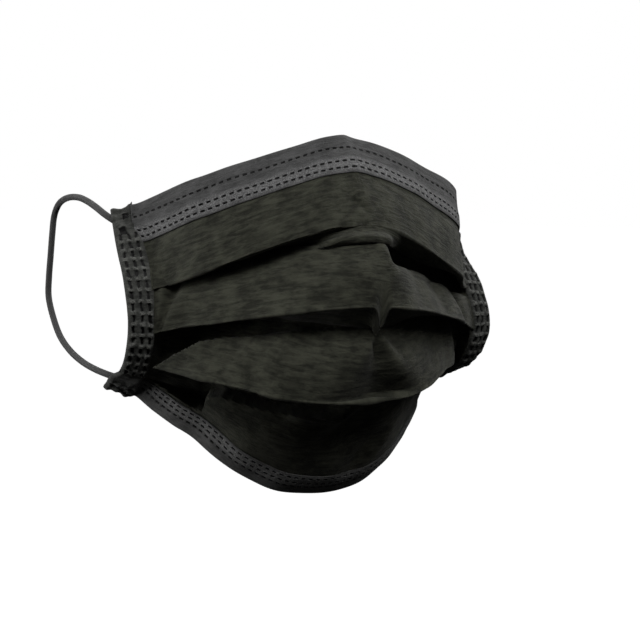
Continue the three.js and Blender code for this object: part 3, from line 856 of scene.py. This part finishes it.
def weld_tree():
    """Sets a rounded pad of melted film on each point, turned to the attributes `run` and `out`."""
    tree = bpy.data.node_groups.new("weld_pads", "GeometryNodeTree")
    face = tree.interface
    face.new_socket("Geometry", in_out="OUTPUT", socket_type="NodeSocketGeometry")
    for label, kind in (("Points", "Geometry"), ("Length", "Float"), ("Width", "Float"),
                        ("Thickness", "Float"), ("Seed", "Int"), ("Finish", "Material")):
        face.new_socket(label, in_out="INPUT", socket_type="NodeSocket" + kind)
    given = add_node(tree, "NodeGroupInput").outputs
    run, out = (add_node(tree, "GeometryNodeInputNamedAttribute", {"Name": name},
                         data_type="FLOAT_VECTOR").outputs["Attribute"] for name in ("run", "out"))
    turn = add_node(tree, "FunctionNodeAxesToRotation", {0: out, 1: run},
                    primary_axis="Z", secondary_axis="X")
    size = add_node(tree, "ShaderNodeCombineXYZ",
                    {"X": given["Length"], "Y": given["Width"], "Z": given["Thickness"]})
    chance = add_node(tree, "FunctionNodeRandomValue",
                      {0: SMALLEST_PAD, 1: LARGEST_PAD, "Seed": given["Seed"]}, data_type="FLOAT_VECTOR")
    scale = add_node(tree, "ShaderNodeVectorMath",
                     {0: size.outputs["Vector"], 1: chance.outputs["Value"]}, operation="MULTIPLY")
    block = add_node(tree, "GeometryNodeMeshCube", {"Size": (1, 1, 1)})
    rounded_block = add_node(tree, "GeometryNodeSubdivisionSurface",
                             {"Mesh": block.outputs["Mesh"], "Level": 2, "Edge Crease": 0.6})
    copies = add_node(tree, "GeometryNodeInstanceOnPoints",
                      {"Points": given["Points"], "Instance": rounded_block.outputs["Mesh"],
                       "Rotation": turn.outputs["Rotation"], "Scale": scale.outputs["Vector"]})
    real = add_node(tree, "GeometryNodeRealizeInstances", {"Geometry": copies.outputs["Instances"]})
    smooth = add_node(tree, "GeometryNodeSetShadeSmooth", {"Geometry": real.outputs["Geometry"]})
    finish = add_node(tree, "GeometryNodeSetMaterial",
                      {"Geometry": smooth.outputs["Geometry"], "Material": given["Finish"]})
    add_node(tree, "NodeGroupOutput", {"Geometry": finish.outputs["Geometry"]})
    return tree


def weld_pads(name, tree, spots, size, seed, material):
    """A plain mesh of weld pads at the given points."""
    points, runs, outs = spots
    mesh = bpy.data.meshes.new(name + "_points")
    mesh.from_pydata((points * MM).tolist(), [], [])
    set_marks(mesh, {"run": runs, "out": outs})
    holder = add_object(name + "_points", mesh)
    modifier = holder.modifiers.new("weld_pads", "NODES")
    modifier.node_group = tree
    inputs = {item.name: item.identifier for item in tree.interface.items_tree if item.in_out == "INPUT"}
    for label, value in (("Length", size[0] * MM), ("Width", size[1] * MM), ("Thickness", size[2] * MM),
                         ("Seed", seed), ("Finish", material)):
        modifier[inputs[label]] = value
    made = bpy.data.meshes.new_from_object(holder.evaluated_get(bpy.context.evaluated_depsgraph_get()))
    bpy.data.objects.remove(holder)
    bpy.data.meshes.remove(mesh)
    made.name = name
    return add_object(name, made)


# ---- ear loops ----

def smooth_route(points, step):
    """Points about `step` apart on a smooth curve through the given ones."""
    points = run_past(points)
    shares = np.linspace(0, 1, CORD_SPAN_STEPS, endpoint=False)
    fine = [between_two(*four, shares) for four in zip(points, points[1:], points[2:], points[3:])]
    fine = np.concatenate([*fine, points[-2:-1]])
    along = distances(fine)
    even = np.linspace(0, along[-1], math.ceil(along[-1] / step) + 1)
    return np.stack([np.interp(even, along, fine[:, k]) for k in range(3)], 1), even


def loop_route(side):
    """The course of an ear loop's cord, and the distance along it to each of its points."""
    shares = np.linspace(0, 1, len(LOOP_ROUTE))
    shift = lerp(RIGHT_LOOP_TOP_SHIFT, RIGHT_LOOP_BOTTOM_SHIFT, shares) if side > 0 else 0 * shares
    route = np.array(LOOP_ROUTE, float)
    route[:, 0] = side * (route[:, 0] + shift)
    return smooth_route(route, CORD_STEP)


def ear_loop(name, side, material):
    """A round knitted elastic cord, thinned where its ends are welded behind the side band."""
    line, along = loop_route(side)
    run = unit(np.gradient(line, axis=0))
    across = np.zeros_like(line)
    across[0] = unit(np.cross(run[0], (0, 0, 1.0)))
    for k in range(1, len(line)):
        across[k] = unit(across[k - 1] - run[k] * (across[k - 1] @ run[k]))
    up = np.cross(run, across)
    angles = np.linspace(0, 2 * math.pi, CORD_SIDES, endpoint=False)
    flat = 1 - smooth_step(np.minimum(along, along[-1] - along) / WELDED_END)
    radius = (CORD_DIAMETER / 2 * (1 - THINNING * flat))[:, None, None]
    tube = line[:, None] + (across[:, None] * np.cos(angles)[None, :, None] * radius
                            + up[:, None] * np.sin(angles)[None, :, None] * radius)
    count = len(line)
    points = np.concatenate([tube.reshape(-1, 3), line[:1], line[-1:]])
    corner = np.arange(count * CORD_SIDES).reshape(count, CORD_SIDES)
    turned = np.roll(corner, -1, 1)
    quads = np.stack([corner[:-1], turned[:-1], turned[1:], corner[1:]], -1).reshape(-1, 4).tolist()
    caps = [[count * CORD_SIDES, turned[0, k], corner[0, k]] for k in range(CORD_SIDES)]
    caps += [[count * CORD_SIDES + 1, corner[-1, k], turned[-1, k]] for k in range(CORD_SIDES)]
    places = np.stack([np.repeat(along, CORD_SIDES), np.tile(angles, count) * CORD_DIAMETER / 2,
                       np.zeros(count * CORD_SIDES)], 1)
    places = np.vstack([places, (0, 0, 0), (along[-1], 0, 0)])
    piece = new_mesh(name, points, np.array(quads + caps, dtype=object), {"cord": places}, material)
    return piece, line, float(along[-1])


# ---- materials ----

def linear(code):
    """sRGB hex value to linear colour."""
    parts = [int(code[k:k + 2], 16) / 255 for k in (1, 3, 5)]
    return (*(c / 12.92 if c <= 0.04045 else ((c + 0.055) / 1.055) ** 2.4 for c in parts), 1)


def new_material(name):
    """A material with only its shader and output, for the functions below to finish."""
    material = bpy.data.materials.new(name)
    material.use_nodes = True
    tree = material.node_tree
    tree.nodes.clear()
    shader = add_node(tree, "ShaderNodeBsdfPrincipled")
    add_node(tree, "ShaderNodeOutputMaterial", {"Surface": shader.outputs["BSDF"]})
    return material, tree, shader


# Patterns of the cloth. Its places are in millimetres, so a scale is 1 over the size of what it draws.
STREAKS = (0.17, 0.75, 1)  # streaks of laid fibres, about 6 mm long and 1.3 mm wide
CLOUDS = 0.13  # thick and thin places, about 8 mm across
FIBRES = 2.6  # tufts of 0.4 mm, drawn coarser than the real fibres of 0.02 mm, so that they show
BONDS = (0.85, 1.25, 1)  # bond points about 1.2 mm and 0.8 mm apart, set slantwise
# Numbers of the sockets that the Mix node has for colours
SHARE, UNDER, OVER, MIXED = 0, 6, 7, 2


def spunbond(name, dark, light, ridge, pressed_and_painted_shade, seed):
    """Spunbonded polypropylene nonwoven: endless fibres laid at random and bonded by a roller of small
    points. It looks matt and mottled, streaky along the strip, with a faint grid of bond points and paler
    fluffy ridges where welds pucker it."""
    material, tree, shader = new_material(name)
    place, puffed, weld_and_painted_shade = (add_node(tree, "ShaderNodeAttribute", attribute_name=mark).outputs
                           for mark in ("cloth", "puffed", "pressed_and_painted_shade"))
    place = place["Vector"]
    moved = add_node(tree, "ShaderNodeVectorMath", {0: place, 1: (seed, seed, seed)},
                     operation="ADD").outputs[0]
    along = add_node(tree, "ShaderNodeMapping", {"Vector": moved, "Scale": STREAKS}).outputs[0]
    streaks, clouds, fibres = (
        add_node(tree, "ShaderNodeTexNoise", {"Vector": at, "Scale": scale, "Detail": detail,
                                              "Roughness": rough, "Distortion": distortion}).outputs["Fac"]
        for at, scale, detail, rough, distortion in (
            (along, 1.0, 5, 0.62, 0.5), (moved, CLOUDS, 5, 0.62, 0), (moved, FIBRES, 3, 0.7, 0)))
    both = add_node(tree, "ShaderNodeMath", {0: streaks, 1: clouds}, operation="ADD").outputs[0]
    slantwise = add_node(tree, "ShaderNodeMapping",
                         {"Vector": place, "Scale": BONDS, "Rotation": (0, 0, math.radians(45))}).outputs[0]
    bond = add_node(tree, "ShaderNodeTexVoronoi", {"Vector": slantwise, "Scale": 1.0, "Randomness": 0.05},
                    voronoi_dimensions="2D").outputs["Distance"]
    spread, speck, fluffy, sunk = (
        add_node(tree, "ShaderNodeMapRange", {"Value": value, "From Min": start, "From Max": end,
                                              "To Min": least, "To Max": most}).outputs[0]
        for value, start, end, least, most in (
            (both, 0.83, 1.19, 0, 1), (fibres, 0.6, 0.72, 0, 0.4), (fibres, 0.45, 0.6, 0.1, 0.75),
            (bond, 0.12, 0.32, 0, 1)))
    raised = add_node(tree, "ShaderNodeMath", {0: puffed["Fac"], 1: fluffy}, operation="MULTIPLY").outputs[0]
    colour = linear(dark)
    # the pressed colour darkens weld dents, and on the side bands it also paints shade down the slit
    for share, over in ((spread, light), (speck, ridge), (raised, ridge), (weld_and_painted_shade["Fac"], pressed_and_painted_shade)):
        colour = add_node(tree, "ShaderNodeMix", {SHARE: share, UNDER: colour, OVER: linear(over)},
                          data_type="RGBA").outputs[MIXED]
    height = add_node(tree, "ShaderNodeMath", {0: sunk, 1: 0.25, 2: fibres},
                      operation="MULTIPLY_ADD").outputs[0]
    crinkle = add_node(tree, "ShaderNodeBump", {"Height": both, "Strength": 0.6, "Distance": 0.0009})
    bump = add_node(tree, "ShaderNodeBump", {"Height": height, "Strength": 0.5, "Distance": 0.0002,
                                             "Normal": crinkle.outputs["Normal"]})
    connect(tree, shader, {"Base Color": colour, "Normal": bump.outputs["Normal"], "Roughness": 0.82,
                           "Specular IOR Level": 0.35, "IOR": 1.49, "Sheen Weight": 0.12,
                           "Sheen Roughness": 0.5})
    return material


FILM_RIPPLES = 900.0  # for each metre: ripples about 1.1 mm wide


def melted_film(name, colour):
    """Polypropylene melted by an ultrasonic horn: smooth, dark and slightly glossy film."""
    material, tree, shader = new_material(name)
    place = add_node(tree, "ShaderNodeTexCoord").outputs["Object"]
    noise = add_node(tree, "ShaderNodeTexNoise",
                     {"Vector": place, "Scale": FILM_RIPPLES, "Detail": 3}).outputs["Fac"]
    shade = add_node(tree, "ShaderNodeMix", {SHARE: noise, UNDER: linear(colour), OVER: linear("#10100f")},
                     data_type="RGBA").outputs[MIXED]
    bump = add_node(tree, "ShaderNodeBump", {"Height": noise, "Strength": 0.3, "Distance": 0.0001})
    connect(tree, shader, {"Base Color": shade, "Normal": bump.outputs["Normal"], "Roughness": 0.55,
                           "Specular IOR Level": 0.2})
    return material


STITCHES = (1.2, 1.2, 1)  # with a wave of scale 0.5, stitches about 0.5 mm apart
FUZZ = 3.0  # tufts of yarn about 0.3 mm across, drawn coarser than the yarn's fibres


def knitted_elastic(name):
    """Round elastic cord of knitted nylon over spandex: soft and matt, with fine slanting stitches."""
    material, tree, shader = new_material(name)
    place = add_node(tree, "ShaderNodeAttribute", attribute_name="cord").outputs["Vector"]
    slant = add_node(tree, "ShaderNodeMapping",
                     {"Vector": place, "Rotation": (0, 0, math.radians(35)), "Scale": STITCHES}).outputs[0]
    wave = add_node(tree, "ShaderNodeTexWave",
                    {"Vector": slant, "Scale": 0.5, "Distortion": 0.6, "Detail": 2}).outputs["Fac"]
    fuzz = add_node(tree, "ShaderNodeTexNoise", {"Vector": place, "Scale": FUZZ, "Detail": 4}).outputs["Fac"]
    both = add_node(tree, "ShaderNodeMath", {0: wave, 1: fuzz}, operation="ADD").outputs[0]
    spread = add_node(tree, "ShaderNodeMapRange",
                      {"Value": both, "From Min": 0.4, "From Max": 1.5}).outputs[0]
    shade = add_node(tree, "ShaderNodeMix",
                     {SHARE: spread, UNDER: linear("#333333"), OVER: linear("#565656")},
                     data_type="RGBA").outputs[MIXED]
    bump = add_node(tree, "ShaderNodeBump", {"Height": both, "Strength": 0.6, "Distance": 0.0002})
    connect(tree, shader, {"Base Color": shade, "Normal": bump.outputs["Normal"], "Roughness": 0.85,
                           "Sheen Weight": 0.25})
    return material


# ---- stage ----

def add_floor():
    """A pale floor that the camera sees but that lights nothing."""
    mesh = bpy.data.meshes.new("floor")
    half, low = 30, -0.6
    corners = [(-half, -half, low), (half, -half, low), (half, half, low), (-half, half, low)]
    mesh.from_pydata(corners, [], [(0, 1, 2, 3)])
    floor = add_object("floor", mesh)
    material, tree, shader = new_material("pale_floor")
    connect(tree, shader, {"Base Color": linear("#f4f4f2"), "Roughness": 0.9, "Emission Color": (1, 1, 1, 1),
                           "Emission Strength": 1.0})
    mesh.materials.append(material)
    floor.visible_diffuse = False
    floor.visible_glossy = False


def add_lamp(name, azimuth, elevation, size, power):
    """A round soft light, 1.2 m from the middle of the mask."""
    away = direction(azimuth, elevation)
    lamp = add_object(name, bpy.data.lights.new(name, "AREA"))
    lamp.location = Vector((0, 0.01, -0.05)) + away * 1.2
    lamp.rotation_mode = "QUATERNION"
    lamp.rotation_quaternion = (-away).to_track_quat("-Z", "Y")
    lamp.data.shape = "DISK"
    lamp.data.size = size
    lamp.data.energy = power


def add_world():
    """A surround that is white to the camera and lights the mask faintly, a little more from above."""
    world = bpy.data.worlds.new("studio")
    bpy.context.scene.world = world
    world.use_nodes = True
    tree = world.node_tree
    tree.nodes.clear()
    towards = add_node(tree, "ShaderNodeTexCoord").outputs["Generated"]
    height = add_node(tree, "ShaderNodeSeparateXYZ", {"Vector": towards}).outputs["Z"]
    strength = add_node(tree, "ShaderNodeMapRange", {"Value": height, "From Min": -0.2, "From Max": 0.8,
                                                     "To Min": 0.014, "To Max": 0.02}).outputs[0]
    soft = add_node(tree, "ShaderNodeBackground", {"Color": (1, 1, 1, 1), "Strength": strength})
    white = add_node(tree, "ShaderNodeBackground", {"Color": (1, 1, 1, 1), "Strength": 1.0})
    seen = add_node(tree, "ShaderNodeLightPath").outputs["Is Camera Ray"]
    both = add_node(tree, "ShaderNodeMixShader", {0: seen, 1: soft.outputs[0], 2: white.outputs[0]})
    add_node(tree, "ShaderNodeOutputWorld", {"Surface": both.outputs[0]})


# ---- assembly ----

def settle(piece, node):
    """Ties a finished piece to the frame."""
    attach(piece, "root")
    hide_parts(node)


bpy.context.scene.view_settings.view_transform = "Standard"
add_camera()

elastic = knitted_elastic("knitted_elastic_cord")
for name, node, side in (("left_ear_cord", "ear_loop_left", -1), ("right_ear_cord", "ear_loop_right", 1)):
    loop, line, length = ear_loop(name, side, elastic)
    settle(loop, node)

panel_cloth = spunbond("charcoal_spunbond_cloth", "#212218", "#48493d", "#48493d", "#101010", 0)
nose_cloth = spunbond("grey_spunbond_strip", "#454545", "#5e5e5e", "#9a9a9a", "#161616", 31)
# the same grey cloth as the nose strip, painted a little lighter to stand in for light that the chin edge
# lacks
chin_cloth = spunbond("grey_spunbond_strip_painted_lighter", "#4a4a49", "#686867", "#9a9a99", "#161616", 57)
side_cloth = spunbond("pressed_spunbond_strip", "#353633", "#585955", "#8c8d88", "#080808", 83)
film = melted_film("melted_weld_film", "#060606")
pads = weld_tree()

cloth = make_cloth()
panel = pleated_panel(cloth, panel_cloth)
settle(panel, "pleated_panel")

for name, node, edge, band, material, slot, seed in (
        ("nose_binding", "nose_band", 0, NOSE_BAND, nose_cloth, "nose_binding_cloth", 1),
        ("chin_binding", "chin_band", cloth["down"][-1], CHIN_BAND, chin_cloth, "chin_binding_cloth", 2)):
    strip, spots = binding(name, cloth, edge, band, material)
    settle(strip, node)
    settle(weld_pads(name + "_welds", pads, spots, DASH_PAD, seed, film), node)

for name, node, side in (("left_edge_strip", "side_band_left", -1),
                         ("right_edge_strip", "side_band_right", 1)):
    band, dashes, spots = side_band(name, side, side_cloth)
    settle(band, node)
    for ending, welds, size, seed in (("_welds", dashes, SIDE_DASH_PAD, 5),
                                      ("_spot_welds", spots, SPOT_PAD, 9)):
        settle(weld_pads(name + ending, pads, welds, size, seed + side, film), node)

add_floor()
add_world()
add_lamp("left_side", -112, 6, 1.0, 6.7)
add_lamp("right_side", 108, 45, 0.8, 6)
add_lamp("top_left", -35, 46, 0.5, 5.6)
add_lamp("top_right", 35, 42, 0.5, 2.6)
